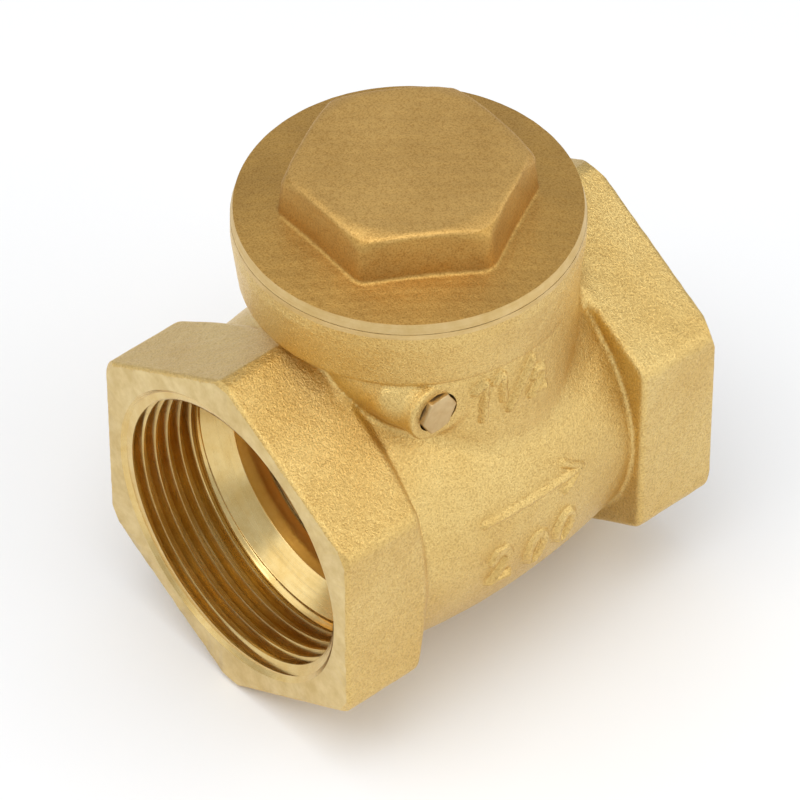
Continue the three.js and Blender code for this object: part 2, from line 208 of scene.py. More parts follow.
def filleted(a, b, radius):
    """Two shapes joined, with a fillet of that radius in the corner between them."""
    corner = np.hypot(np.maximum(radius - a, 0), np.maximum(radius - b, 0))
    return np.maximum(radius, np.minimum(a, b)) - corner


def waviness(x, y, z):
    """The slow unevenness of a sand-cast skin, in millimetres."""
    return (
        0.022 * np.sin(0.9 * x + 1.3 * np.sin(0.5 * y)) * np.sin(1.1 * z + 0.7)
        + 0.018 * np.sin(1.7 * y + 0.9 * z) * np.sin(1.5 * x - 0.6 * z)
        + 0.012 * np.sin(2.9 * x + 2.1 * y) * np.sin(2.6 * z - 1.9 * y)
    )


def barrel(x, rho):
    """Distance to the round middle of the body, which bulges a little."""
    past = x - BARREL_FATTEST_X
    slope = 2 * BARREL_BULGE * past
    return (rho - BARREL_RADIUS + BARREL_BULGE * past**2) / np.sqrt(1 + slope**2)


def end_hexagons(x, y, z, rho):
    """Distance to the wrench hexagons of both ends. The rear of the inlet's is slightly conical."""
    cone = INLET_HEX_REAR + HEX_REAR_CONE * (rho - FLAT) + x
    rear = np.where(x < 0, cone / math.hypot(1, HEX_REAR_CONE), OUTLET_HEX_REAR - x)
    outline = np.maximum(hexagon(z, y, FLAT, HEX_CORNER), np.abs(z) - HEX_STRIP)
    return block(outline, rear, HEX_EDGE)


def neck(x, y, z):
    """Distance to the oval neck, which runs from inside the barrel to just inside the collar."""
    ratio = np.hypot((x - NECK_MIDDLE_X) / NECK_HALF_LENGTH, y / NECK_HALF_WIDTH)
    below = NECK_MIDDLE_Z - NECK_IN_COLLAR
    upright = np.abs(z - NECK_MIDDLE_Z) - COLLAR_BOTTOM + below
    return block((ratio - 1) * NECK_MEAN_RADIUS, upright, NECK_EDGE)


def collar(x, y, z):
    """Distance to the round collar under the cap, which widens a little towards its top."""
    rise = (COLLAR_TOP_RADIUS - COLLAR_BOTTOM_RADIUS) / (COLLAR_TAPER_TOP - COLLAR_BOTTOM)
    widest = np.minimum(COLLAR_BOTTOM_RADIUS + rise * (z - COLLAR_BOTTOM), COLLAR_TOP_RADIUS)
    half = COLLAR_HEIGHT / 2
    upright = np.abs(z - COLLAR_BOTTOM - half) - half
    return block(np.hypot(x - NECK_X, y) - widest, upright, COLLAR_EDGE)


def hinge_web(x, y, z):
    """Distance to the rounded web that carries the hinge boss."""
    middle = np.hypot(x - PIN_X + WEB_BACK, z - PIN_Z - WEB_RISE)
    return block(middle - WEB_RADIUS, np.abs(y - WEB_MIDDLE_Y) - WEB_HALF_LENGTH, WEB_EDGE)


def hinge_boss(x, y, z):
    """Distance to the boss that takes the hinge plug."""
    middle = np.hypot(x - PIN_X, z - PIN_Z)
    along = np.abs(y - BOSS_FACE - BOSS_HALF_LENGTH) - BOSS_HALF_LENGTH
    return block(middle - BOSS_RADIUS, along, BOSS_EDGE)


def casting(x, y, z):
    """Distance to the body's cast skin, before anything is machined."""
    rho = np.hypot(y, z)
    neck_fillet = NECK_FILLET + NECK_FILLET_GAIN * np.clip((x - 6) / 12, 0, 1)
    skin = filleted(barrel(x, rho), end_hexagons(x, y, z, rho), HEX_FILLET)
    skin = filleted(skin, neck(x, y, z), neck_fillet)
    skin = filleted(skin, hinge_web(x, y, z), WEB_FILLET)
    skin = filleted(skin, hinge_boss(x, y, z), BOSS_FILLET)
    skin = filleted(skin, collar(x, y, z), COLLAR_FILLET)
    return block(skin, np.abs(x) - END - END_SPARE, END_EDGE) - waviness(x, y, z)


def cap_plate(rho, z):
    """Distance to the cap's shallow crowned plate."""
    crown = CAP_LEVEL + CAP_CROWN * np.clip((CAP_CROWN_RADIUS - rho) / CAP_CROWN_WIDTH, -0.2, 1)
    return block(rho - CAP_PLATE_RADIUS, np.maximum(z - crown, CAP_PLATE_FLOOR - z), CAP_PLATE_EDGE)


def cap_hexagon(x, y, z, rho):
    """Distance to the cap's drafted wrench hexagon, whose top is chamfered and slightly crowned."""
    v = math.cos(CAP_HEX_TURN) * x + math.sin(CAP_HEX_TURN) * y
    u = -math.sin(CAP_HEX_TURN) * x + math.cos(CAP_HEX_TURN) * y
    draft = (z - CAP_LEVEL) * CAP_HEX_DRAFT / CAP_HEX_HEIGHT
    sides = (hexagon(u, v, CAP_HEX_FLAT, CAP_HEX_CORNER) + draft) * CAP_HEX_DRAFT_COSINE
    top = z - cap_high[2] + CAP_TOP_SPARE + CAP_TOP_CROWN * rho**2
    cone = rho - CAP_CHAMFER_RADIUS + (z - cap_high[2]) * CAP_CHAMFER_SLOPE
    head = block(sides, np.maximum(top, CAP_HEX_FLOOR - z), CAP_HEX_EDGE)
    return block(head, cone * CAP_CHAMFER_COSINE, CAP_CHAMFER_EDGE)


def cap_casting(x, y, z):
    """Distance to the cap's cast top: the plate and the wrench hexagon on it."""
    x = x - NECK_X
    rho = np.hypot(x, y)
    skin = filleted(cap_plate(rho, z), cap_hexagon(x, y, z, rho), CAP_FILLET)
    return skin - CAP_WAVINESS * waviness(x, y, z)


# ---------------------------------------------------------------- meshes

def slope_of(field, points, reach=0.02):
    """Gradient of a distance field at some points."""
    parts = []
    for axis in range(3):
        step = np.zeros(3)
        step[axis] = reach
        parts.append(field(*(points + step).T) - field(*(points - step).T))
    return np.stack(parts, 1) / (2 * reach)


def settle(field, points, most, rounds=3):
    """Moves points onto the field's zero surface."""
    for _ in range(rounds):
        slope = slope_of(field, points)
        size = np.maximum((slope**2).sum(1), 0.2)
        move = (field(*points.T) / size)[:, None] * slope
        length = np.maximum(np.linalg.norm(move, axis=1), 1e-9)
        points = points - move * np.minimum(1, most / length)[:, None]
    return points


def crossings(values, axis):
    """Where a grid's edges along one axis cross zero, and the four cells around each of them."""
    near, far = [slice(None)] * 3, [slice(None)] * 3
    near[axis], far[axis] = slice(None, -1), slice(1, None)
    near, far = values[tuple(near)], values[tuple(far)]
    flips = np.argwhere((near < 0) != (far < 0))
    a, b = near[tuple(flips.T)], far[tuple(flips.T)]
    places = flips.astype(float)
    places[:, axis] += a / (a - b)
    u, v = (axis + 1) % 3, (axis + 2) % 3
    ring = []
    for du, dv in ((0, 0), (-1, 0), (-1, -1), (0, -1)):
        cell = flips.copy()
        cell[:, u] += du
        cell[:, v] += dv
        ring.append(np.ravel_multi_index(cell.T, values.shape))
    ring = np.stack(ring, 1)
    ring[a > 0] = ring[a > 0, ::-1]
    return places, ring


def surface_net(field, low, high, step, slab=8):
    """The closed surface where a distance field is zero, as points and four-sided faces."""
    axes = [np.arange(a, b + step, step) for a, b in zip(low, high)]
    values = np.empty([len(axis) for axis in axes], np.float32)
    y, z = axes[1][None, :, None], axes[2][None, None, :]
    for start in range(0, len(axes[0]), slab):
        values[start : start + slab] = field(axes[0][start : start + slab, None, None], y, z)
    found = [crossings(values, axis) for axis in range(3)]
    places = np.concatenate([np.repeat(places, 4, axis=0) for places, _ in found])
    cells = np.concatenate([ring for _, ring in found])
    _, index = np.unique(cells.ravel(), return_inverse=True)
    count = np.bincount(index)
    points = np.stack([np.bincount(index, places[:, k]) / count for k in range(3)], 1)
    points = points * step + np.array([axis[0] for axis in axes])
    return settle(field, points, step), index.reshape(-1, 4)


def mesh_object(name, points, faces):
    mesh = bpy.data.meshes.new(name)
    faces = [list(map(int, face)) for face in faces]
    mesh.from_pydata(np.asarray(points, float).tolist(), [], faces)
    mesh.validate()
    mesh.update()
    made = bpy.data.objects.new(name, mesh)
    bpy.context.scene.collection.objects.link(made)
    return made


def volume_of(points, faces):
    """Six times the volume inside a closed surface, negative if its faces look inwards."""
    total = 0.0
    points = np.asarray(points, float)
    for face in faces:
        a = points[face[0]]
        for k in range(1, len(face) - 1):
            total += np.dot(a, np.cross(points[face[k]], points[face[k + 1]]))
    return total


def outwards(points, faces):
    return faces if volume_of(points, faces) > 0 else [face[::-1] for face in faces]


def about_x(radius, angle, along):
    return along, radius * np.cos(angle), radius * np.sin(angle)


def about_y(radius, angle, along):
    return PIN_X + radius * np.cos(angle), along, PIN_Z + radius * np.sin(angle)


def about_z(radius, angle, along):
    return NECK_X + radius * np.cos(angle), radius * np.sin(angle), along


def soften(profile, radius, steps=3):
    """A profile whose inner corners are rounded, each by at most the given radius."""
    out = [profile[0]]
    for before, corner, after in zip(profile, profile[1:], profile[2:]):
        corner_v = np.array(corner, float)
        back, on = np.array(before) - corner_v, np.array(after) - corner_v
        reach = min(radius, 0.45 * np.linalg.norm(back), 0.45 * np.linalg.norm(on))
        start = corner_v + back / np.linalg.norm(back) * reach
        stop = corner_v + on / np.linalg.norm(on) * reach
        for step in range(steps + 1):
            t = step / steps
            out.append(tuple((1 - t) ** 2 * start + 2 * t * (1 - t) * corner_v + t * t * stop))
    out.append(profile[-1])
    return out


def lathe(name, profile, about, segments=128, ring=False):
    """A turned solid. The profile runs from axis to axis, or for a ring is a closed outline."""
    angles = 2 * np.pi * np.arange(segments) / segments
    points, rows = [], []
    for radius, along in profile:
        if radius < 1e-6:
            rows.append([len(points)] * segments)
            points.append([float(c) for c in about(0.0, 0.0, along)])
        else:
            rows.append(list(range(len(points), len(points) + segments)))
            spread = about(radius, angles, along)
            points.extend(np.stack(np.broadcast_arrays(*spread), 1).tolist())
    pairs = list(zip(rows, rows[1:])) + ([(rows[-1], rows[0])] if ring else [])
    faces = []
    for lower, upper in pairs:
        for j in range(segments):
            k = (j + 1) % segments
            face = [lower[j], lower[k], upper[k], upper[j]]
            face = [p for i, p in enumerate(face) if p != face[i - 1]]
            if len(face) > 2:
                faces.append(face)
    return mesh_object(name, points, outwards(points, faces))


def thread_rows(about, start, stop, pitch, outer, inner, fade):
    """Points on a thread. A row is one turn of the helix, and each starts a little further on."""
    way = 1 if stop > start else -1
    low, high = min(start, stop), max(start, stop)
    turns = math.ceil((high - low) / pitch) + 2
    share = np.arange(THREAD_SEGMENTS) / THREAD_SEGMENTS
    rows = []
    for i in range(turns * THREAD_ROWS + 1):
        turn, step = divmod(i, THREAD_ROWS)
        depth = min(1.0, max(0.0, 0.5 + 0.6 * math.cos(math.tau * step / THREAD_ROWS)))
        along = low - 2 * pitch + (turn + step / THREAD_ROWS + share) * pitch
        left = np.clip((stop - along) * way / fade, 0, 1) if fade else np.ones(THREAD_SEGMENTS)
        radius = inner + (outer - inner) * depth * np.minimum(1, left * 1.3)
        rows.append(np.stack(about(radius, 2 * np.pi * share, along), 1))
    return rows


def without_spares(points, faces):
    """The same surface without the points that no face uses."""
    used = sorted({p for face in faces for p in face})
    renumber = {p: i for i, p in enumerate(used)}
    return [points[p] for p in used], [[renumber[p] for p in face] for face in faces]


def threaded_core(name, about, start, stop, pitch, outer, inner, fade=0):
    """The solid inside a right-handed internal thread, which follows the helix from start to stop.

    outer and inner are its radii at root and crest, and fade is how far before stop it runs out.
    """
    points = np.concatenate(thread_rows(about, start, stop, pitch, outer, inner, fade)).tolist()
    rows = np.arange(len(points)).reshape(-1, THREAD_SEGMENTS).tolist()
    low, high = min(start, stop), max(start, stop)
    last = len(rows) - 1 - THREAD_ROWS
    faces = []
    for i in range(last):
        near = rows[i] + [rows[i + THREAD_ROWS][0]]
        far = rows[i + 1] + [rows[i + 1 + THREAD_ROWS][0]]
        faces += [[near[j], near[j + 1], far[j + 1], far[j]] for j in range(THREAD_SEGMENTS)]
    for row, flip, place in ((0, True, low - 3 * pitch), (last, False, high + 3 * pitch)):
        hub = len(points)
        points.append([float(c) for c in about(0.0, 0.0, place)])
        loop = rows[row] + [rows[row + k][0] for k in range(THREAD_ROWS, 0, -1)]
        for a, b in zip(loop, loop[1:] + loop[:1]):
            faces.append([hub, b, a] if flip else [hub, a, b])
    points, faces = without_spares(points, faces)
    core = mesh_object(name, points, outwards(points, faces))
    wide = 3 * outer
    slab = lathe(name + "_slab", [(0, low), (wide, low), (wide, high), (0, high)], about, 12)
    return combine(core, "INTERSECT", slab)


def combine(target, operation, *tools):
    """Target joined with, cut by or kept inside each tool. The tools are used up."""
    for tool in tools:
        modifier = target.modifiers.new("combine", "BOOLEAN")
        modifier.operation = operation
        modifier.solver = "MANIFOLD"
        modifier.object = tool
        bpy.context.view_layer.update()
        shape = target.evaluated_get(bpy.context.evaluated_depsgraph_get())
        mesh = bpy.data.meshes.new_from_object(shape)
        target.modifiers.clear()
        old = target.data
        target.data = mesh
        bpy.data.meshes.remove(old)
        bpy.data.objects.remove(tool)
    return target


def put_in_row(piece, body, node, sharp=32):
    """Millimetres about the pipe axis become metres on the floor, and the piece joins the frame."""
    piece.data.transform(Matrix.Translation((0, 0, AXIS_Z * MM)) @ Matrix.Scale(MM, 4))
    piece.data.shade_smooth()
    piece.data.set_sharp_from_angle(angle=math.radians(sharp))
    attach(piece, body)
    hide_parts(node)


def paint(piece, materials, choose=None):
    """Gives a piece its materials. choose(centres, normals) returns each face's material number."""
    mesh = piece.data
    mesh.materials.clear()
    for material in materials:
        mesh.materials.append(material)
    if choose is None:
        return
    count = len(mesh.polygons)
    centres, normals = np.empty(count * 3), np.empty(count * 3)
    mesh.polygons.foreach_get("center", centres)
    mesh.polygons.foreach_get("normal", normals)
    numbers = choose(centres.reshape(-1, 3), normals.reshape(-1, 3))
    mesh.polygons.foreach_set("material_index", np.asarray(numbers, np.int32))


# ---------------------------------------------------------------- materials

def new_material(name):
    material = bpy.data.materials.new(name)
    material.use_nodes = True
    tree = material.node_tree
    return material, tree, tree.nodes["Principled BSDF"]


def add(tree, kind, **values):
    node = tree.nodes.new(kind)
    for key, value in values.items():
        if key in node.inputs:
            node.inputs[key].default_value = value
        else:
            setattr(node, key, value)
    return node


def noise(tree, size, detail=2.0, roughness=0.5, stretch=None):
    """Noise whose features are about size millimetres across, in the row frame."""
    place = add(tree, "ShaderNodeTexCoord")
    source = place.outputs["Object"]
    if stretch:
        mapping = add(tree, "ShaderNodeMapping")
        mapping.inputs["Scale"].default_value = stretch
        tree.links.new(source, mapping.inputs["Vector"])
        source = mapping.outputs["Vector"]
    scale = 1 / (size * MM)
    node = add(tree, "ShaderNodeTexNoise", Scale=scale, Detail=detail, Roughness=roughness)
    tree.links.new(source, node.inputs["Vector"])
    return node.outputs["Fac"]


def ramp(tree, source, *stops):
    node = add(tree, "ShaderNodeValToRGB")
    ends = node.color_ramp.elements
    while len(ends) < len(stops):
        ends.new(0.5)
    for element, (place, color) in zip(ends, stops):
        element.position = place
        element.color = (*color, 1)
    tree.links.new(source, node.inputs["Fac"])
    return node.outputs["Color"]


def grey(value):
    return (value, value, value)


def mixed(tree, kind, factor, a, b):
    """a and b mixed by a factor; each may be a socket or a colour."""
    node = add(tree, "ShaderNodeMix", data_type="RGBA", blend_type=kind)
    for socket, value in ((node.inputs[0], factor), (node.inputs[6], a), (node.inputs[7], b)):
        if isinstance(value, (int, float)):
            socket.default_value = value
        elif isinstance(value, tuple):
            socket.default_value = (*value, 1)
        else:
            tree.links.new(value, socket)
    return node.outputs[2]


def bumped(tree, shader, *layers):
    """Stacks bumps on a shader. A layer is (height socket, distance in millimetres, strength)."""
    normal = None
    for height, distance, strength in layers:
        node = add(tree, "ShaderNodeBump", Strength=strength, Distance=distance * MM)
        tree.links.new(height, node.inputs["Height"])
        if normal is not None:
            tree.links.new(normal, node.inputs["Normal"])
        normal = node.outputs["Normal"]
    tree.links.new(normal, shader.inputs["Normal"])


def cast_brass(name, light, dark, grain, depth, rough=(0.22, 0.44)):
    """Shot-blasted brass: fine pits and bright grains in the bump, over slow changes of tone, with
    painted shade that darkens the base colour in the pits.
    """
    material, tree, shader = new_material(name)
    shader.inputs["Metallic"].default_value = 1.0
    fine = noise(tree, grain, 3, 0.7)
    coarse = noise(tree, grain * 2.6, 2, 0.5)
    stain = ramp(tree, noise(tree, 11, 3, 0.6), (0.35, grey(0)), (0.65, grey(1)))
    # Painted shade: pit and skin darken the base colour where the fine noise, and so the bump, is
    # low. This stands in for the shade inside the blast pits.
    pit_shade, skin = (0.62, 0.54, 0.44), (0.93, 0.92, 0.88)
    painted_pit_shade = ramp(tree, fine, (0.38, pit_shade), (0.51, skin), (0.62, grey(1)))
    base = mixed(tree, "MIX", stain, dark, light)
    polish = ramp(tree, fine, (0.3, grey(rough[1])), (0.7, grey(rough[0])))
    tree.links.new(mixed(tree, "MULTIPLY", 0.7, base, painted_pit_shade), shader.inputs["Base Color"])
    tree.links.new(polish, shader.inputs["Roughness"])
    bumped(tree, shader, (coarse, depth * 0.9, 0.6), (fine, depth, 1.0))
    return material


def machined_brass(name, light, dark, rough, lines, axis=0, depth=0.004, worn=0.0):
    """Turned metal, with fine tool marks across one axis, stains, and dents up to worn mm deep."""
    material, tree, shader = new_material(name)
    shader.inputs["Metallic"].default_value = 1.0
    stretch = [0.04, 0.04, 0.04]
    stretch[axis] = 1.0
    marks = noise(tree, lines, 1, 0.5, stretch)
    stain = ramp(tree, noise(tree, 4, 5, 0.72), (0.36, grey(0)), (0.64, grey(1)))
    polish = ramp(tree, marks, (0.3, grey(rough * 0.8)), (0.7, grey(rough * 1.25)))
    tree.links.new(mixed(tree, "MIX", stain, dark, light), shader.inputs["Base Color"])
    tree.links.new(polish, shader.inputs["Roughness"])
    bumped(tree, shader, (noise(tree, 1.6, 3, 0.6), worn, 0.7), (marks, depth, 0.6))
    return material


def dull_material(name, dark, light, mottle, rough, bump):
    """Rubber or fibre. mottle is what noise() takes, and bump is a depth in mm and a strength."""
    material, tree, shader = new_material(name)
    tones = ramp(tree, noise(tree, *mottle), (0.3, dark), (0.7, light))
    tree.links.new(tones, shader.inputs["Base Color"])
    shader.inputs["Roughness"].default_value = rough
    bumped(tree, shader, (noise(tree, 0.3), *bump))
    return material


def cast_materials():
    satin = (0.42, 0.58)
    return {
        "cast": cast_brass("cast_brass", (0.82, 0.595, 0.23), (0.76, 0.525, 0.185), 0.3, 0.16),
        # cap and plate are darker, browner copies of the cast brass. They paint shade on the cap's
        # upward faces, and darker shade still on its plate and the sides of its hexagon.
        "cap": cast_brass(
            "cast_brass_cap_shaded", (0.74, 0.47, 0.155), (0.65, 0.40, 0.125), 0.28, 0.07, satin
        ),
        "plate": cast_brass(
            "cast_brass_plate_shaded", (0.64, 0.39, 0.112), (0.55, 0.33, 0.095), 0.28, 0.07, satin
        ),
    }


def machined_materials():
    return {
        "face": machined_brass(
            "machined_brass", (0.76, 0.59, 0.29), (0.63, 0.46, 0.19), 0.42, 0.3, worn=0.09
        ),
        "rim": machined_brass(
            "turned_rim_brass", (0.72, 0.53, 0.25), (0.64, 0.45, 0.18), 0.5, 0.25, 2, worn=0.06
        ),
        "thread": machined_brass(
            "thread_brass", (0.76, 0.57, 0.25), (0.68, 0.47, 0.17), 0.24, 0.4, depth=0.003
        ),
        # port is a brighter copy of the machined brass. It paints light onto the walls of the port
        # and seat, deep inside the bore.
        "port": machined_brass(
            "bore_brass_lit", (0.92, 0.64, 0.24), (0.86, 0.57, 0.19), 0.36, 0.3
        ),
        "ground": machined_brass(
            "ground_brass", (0.64, 0.47, 0.24), (0.54, 0.37, 0.17), 0.45, 0.3, 1, worn=0.12
        ),
        "steel": machined_brass(
            "stainless_steel", (0.68, 0.68, 0.67), (0.6, 0.6, 0.59), 0.28, 0.2
        ),
    }


def make_materials():
    """Every material of the valve, by the short name that the pieces use for it."""
    return {
        **cast_materials(),
        **machined_materials(),
        "rubber": dull_material(
            "amber_rubber", (0.56, 0.28, 0.06), (0.66, 0.36, 0.1), (1.2,), 0.6, (0.02, 0.6)
        ),
        "fibre": dull_material(
            "gasket_fibre", (0.24, 0.15, 0.09), (0.42, 0.30, 0.2), (0.5, 4), 0.85, (0.04, 0.7)
        ),
    }


# ---------------------------------------------------------------- body

def socket_core(name, way, port):
    """What is cut out for one threaded socket: at the inlet way is -1, at the outlet 1."""
    start, stop = way * (END + 0.5), way * (RELIEF_X + 0.05)
    thread = threaded_core(name, about_x, start, stop, PITCH, MAJOR, MINOR, THREAD_FADE)
    mouth = lathe(name + "_mouth", [
        (0, way * (END + 1)),
        (MAJOR + 1.75, way * (END + 1)),
        (MAJOR - 0.15, way * (END - 0.6)),
        (0, way * (END - 0.6)),
    ], about_x, 192)
    shoulder = lathe(name + "_shoulder", soften([
        (0, way * (RELIEF_X + 1.8)),
        (MINOR + 0.05, way * (RELIEF_X + 1.8)),
        (MINOR + 0.05, way * RELIEF_X),
        (port, way * SHOULDER_X),
        (port, way * (SHOULDER_X - 1)),
        (0, way * (SHOULDER_X - 1)),
    ], 0.15), about_x, 192)
    return combine(thread, "UNION", mouth, shoulder)


def chamber_core():
    """What is cut out between the port and the outlet: the seat's step and the swing chamber."""
    return lathe("chamber", soften([
        (0, -SHOULDER_X - 0.5),
        (PORT_RADIUS, -SHOULDER_X - 0.5),
        (PORT_RADIUS, SEAT_X),
        (20.3, SEAT_X),
        (20.8, SEAT_X - 1),
        (23.2, SEAT_X - 1),
        (24.4, SEAT_X + 2),
        (CHAMBER_RADIUS, -6),
        (CHAMBER_RADIUS, 6),
        (23.2, 15),
        (OUTLET_PORT_RADIUS, SHOULDER_X - 0.4),
        (OUTLET_PORT_RADIUS, SHOULDER_X + 0.4),
        (0, SHOULDER_X + 0.4),
    ], 0.5), about_x, 160)


def well_core():
    """The round well of the neck, above the shelf, and the plane that faces off the collar."""
    shelf, mouth, mouth_floor, wide, above = 25.2, 24.8, 41.9, 40, 60
    upper = lathe("well", soften([
        (0, shelf),
        (NECK_BORE, shelf),
        (NECK_BORE, 34.6),
        (CAP_THREAD_MINOR, 35.3),
        (CAP_THREAD_MINOR, mouth_floor),
        (mouth, mouth_floor),
        (mouth, NECK_TOP),
        (wide, NECK_TOP),
        (wide, above),
        (0, above),
    ], 0.25), about_z, 160)
    thread = threaded_core(
        "neck_thread", about_z, 42.2, 35.5, CAP_PITCH, CAP_THREAD_MAJOR, CAP_THREAD_MINOR
    )
    return combine(upper, "UNION", thread, lower_well(shelf + 1))


def lower_well(top):
    """The part of the well below its shelf, which stops at the wall that carries the seat."""
    floor, wall, far = 8, SEAT_X - 1, 60
    profile = [(0, floor), (NECK_BORE, floor), (NECK_BORE, top), (0, top)]
    lower = lathe("lower_well", profile, about_z, 96)
    profile = [(0, wall), (far, wall), (far, wall + 80), (0, wall + 80)]
    return combine(lower, "INTERSECT", lathe("side", profile, about_x, 24))


def stroke_distance(x, z, lines):
    """Distance in the XZ plane to the nearest of some polylines."""
    nearest = np.full(np.broadcast(x, z).shape, 99.0)
    for line in lines:
        for (ax, az), (bx, bz) in zip(line, line[1:]):
            dx, dz = bx - ax, bz - az
            t = np.clip(((x - ax) * dx + (z - az) * dz) / (dx * dx + dz * dz), 0, 1)
            nearest = np.minimum(nearest, np.hypot(x - ax - t * dx, z - az - t * dz))
    return nearest


def oval(x, z, width, height, lean=0.12, steps=14):
    """A leaning oval stroke, as points."""
    angles = [2 * math.pi * step / steps for step in range(steps + 1)]
    return [
        (x + width * math.cos(a) + lean * height * math.sin(a), z + height * math.sin(a))
        for a in angles
    ]


# Cast marks on the front side. A group is (strokes as (x, z) points, half width, height).
SIZE_MARKS = ([
    [(-7.5, 27.9), (-6.0, 29.4), (-6.2, 22.0)],
    [(-4.4, 28.7), (-3.3, 29.8), (-3.0, 24.8)],
    [(2.2, 30.0), (-2.0, 22.4)],
    [(2.3, 26.2), (3.0, 27.3), (4.3, 27.0), (4.4, 25.6), (2.0, 22.8), (4.8, 22.9)],
], 0.85, 0.72)
FLOW_ARROW = ([
    [(-9.4, 5.5), (9.0, 5.0)],
    [(6.4, 7.6), (9.8, 5.0), (6.4, 2.6)],
], 0.85, 0.5)
RATING_MARKS = ([
    [(-8.4, -2.6), (-7.5, -1.2), (-5.9, -1.2), (-5.2, -2.8), (-8.4, -7.3), (-4.8, -7.6)],
    oval(0.4, -5.4, 1.5, 3.0),
    oval(6.2, -4.8, 1.5, 3.0),
], 1.0, 0.8)
MARKS = (SIZE_MARKS, FLOW_ARROW, RATING_MARKS)
MARK_MARGIN = 0.6
MARKED_SKIN = ((-11.5, 12), (-11, 32))  # the reach of all the marks and their margins, in X and Z


def mark_height(x, z):
    """How far the cast marks stand proud of the skin, over the front side."""
    height = np.zeros(np.broadcast(x, z).shape)
    for lines, half_width, proud in MARKS:
        near = np.clip(stroke_distance(x, z, lines) / half_width, 0, 1)
        height = np.maximum(height, proud * (1 - near**2.2) ** 1.5)
    uneven = 1 + 0.1 * np.sin(3.1 * x + 2.3 * z) * np.sin(2.7 * z - 1.3 * x)
    return height * uneven


def mark_windows():
    """The lowest and highest X and Z that each group of marks reaches, with a margin."""
    windows = []
    for lines, half_width, _ in MARKS:
        places = np.array([point for line in lines for point in line])
        low = places.min(0) - half_width - MARK_MARGIN
        high = places.max(0) + half_width + MARK_MARGIN
        windows.append(((low[0], high[0]), (low[1], high[1])))
    return windows


def raise_marks(body):
    """Divides the casting's front skin finely around the cast marks and moves it out onto them."""
    shape = bmesh.new()
    shape.from_mesh(body.data)
    windows = mark_windows()

    def within(place, window):
        (left, right), (bottom, top) = window
        return left < place.x < right and bottom < place.z < top

    def marked(x, y, z):
        return np.maximum(casting(x, y, z) - mark_height(x, z), cad_low[1] / MM - y)

    edges = []
    for edge in shape.edges:
        place = edge.verts[0].co
        if place.y < -20 and any(within(place, window) for window in windows):
            edges.append(edge)
    bmesh.ops.subdivide_edges(shape, edges=edges, cuts=2, use_grid_fill=True)
    near = [vertex for vertex in shape.verts if vertex.co.y < -19]
    near = [vertex for vertex in near if within(vertex.co, MARKED_SKIN)]
    places = settle(marked, np.array([vertex.co for vertex in near]), 0.5, 4)
    for vertex, place in zip(near, places):
        vertex.co = place
    shape.to_mesh(body.data)
    shape.free()


def rod(name, radius, start, stop, segments=64):
    return lathe(name, [(0, start), (radius, start), (radius, stop), (0, stop)], about_y, segments)


def body_faces(centres, normals):
    """0 cast, 1 machined faces, 2 threads and shoulders, 3 port and seat (a brighter brass, painted
    light), 4 rim of the collar.
    """
    x, y, z = centres[:, 0] / MM, centres[:, 1] / MM, centres[:, 2] / MM - AXIS_Z
    rho, neck_rho = np.hypot(y, z), np.hypot(x - NECK_X, y)
    radial = normals[:, 0] * (x - NECK_X) + normals[:, 1] * y
    outward = radial / np.maximum(neck_rho, 1e-6)
    slack = 0.02
    numbers = np.zeros(len(x), int)
    numbers[(z > 25) & (neck_rho < 24.9) & ((outward < -0.2) | (z > 40))] = 2
    numbers[z > NECK_TOP - slack] = 1
    numbers[(z > 42.6) & (neck_rho > 25) & (outward > 0.5)] = 4
    ends = np.abs(x) > END - slack
    numbers[ends] = 1
    numbers[(np.abs(x) > SHOULDER_X - slack) & (rho < MAJOR + 0.99) & ~ends] = 2
    numbers[(x > -SHOULDER_X - slack) & (x < SEAT_X + slack) & (rho < 20.9)] = 3
    return numbers


def end_keeper():
    """The solid that cuts the body to length and takes the outer edge off its end faces."""
    full = 60
    return lathe("keeper", [
        (0, -END), (30.4, -END), (31.3, -END + 0.6), (33, -END + 4), (full, -END + 4),
        (full, END - 4), (33, END - 4), (31.2, END - 0.8), (29.9, END), (0, END),
    ], about_x, 192)


def fit_hinge(body):
    """Room for the arm's knuckle, a lug on either side of it, and the holes for pin and plug."""
    combine(body, "DIFFERENCE", rod("knuckle_room", BOSS_RADIUS, -KNUCKLE_ROOM, KNUCKLE_ROOM))
    combine(body, "UNION", rod("lug", LUG_RADIUS, BOSS_FACE + 0.6, -KNUCKLE_ROOM))
    far_lug = rod("far_lug", LUG_RADIUS, KNUCKLE_ROOM, 12.9)
    combine(body, "UNION", far_lug, rod("far_lug_end", 3.2, 12.5, 15.2))
    combine(
        body, "DIFFERENCE",
        rod("pin_hole", PIN_HOLE_RADIUS, -15.7, pin_high[1] + 0.3),
        rod("plug_hole", PLUG_HOLE_RADIUS, -20.4, -15.4),
        rod("plug_pocket", PLUG_HOLE_RADIUS, BOSS_FACE - 3, -20.1),
    )


def valve_body(materials):
    low = np.array([-END - 2.4, -FLAT - 1.6, -HEX_STRIP - 0.8])
    high = np.array([END + 2.4, FLAT + 1.6, 46.4])
    body = mesh_object("valve_body_casting", *surface_net(casting, low, high, CAST_STEP))
    raise_marks(body)
    combine(body, "INTERSECT", end_keeper())
    combine(body, "DIFFERENCE", socket_core("inlet", -1, PORT_RADIUS))
    combine(body, "DIFFERENCE", socket_core("outlet", 1, OUTLET_PORT_RADIUS))
    combine(body, "DIFFERENCE", chamber_core(), well_core())
    fit_hinge(body)
    put_in_row(body, "body", "valve_body")
    used = ("cast", "face", "thread", "port", "rim")
    paint(body, [materials[kind] for kind in used], body_faces)


# ---------------------------------------------------------------- cap

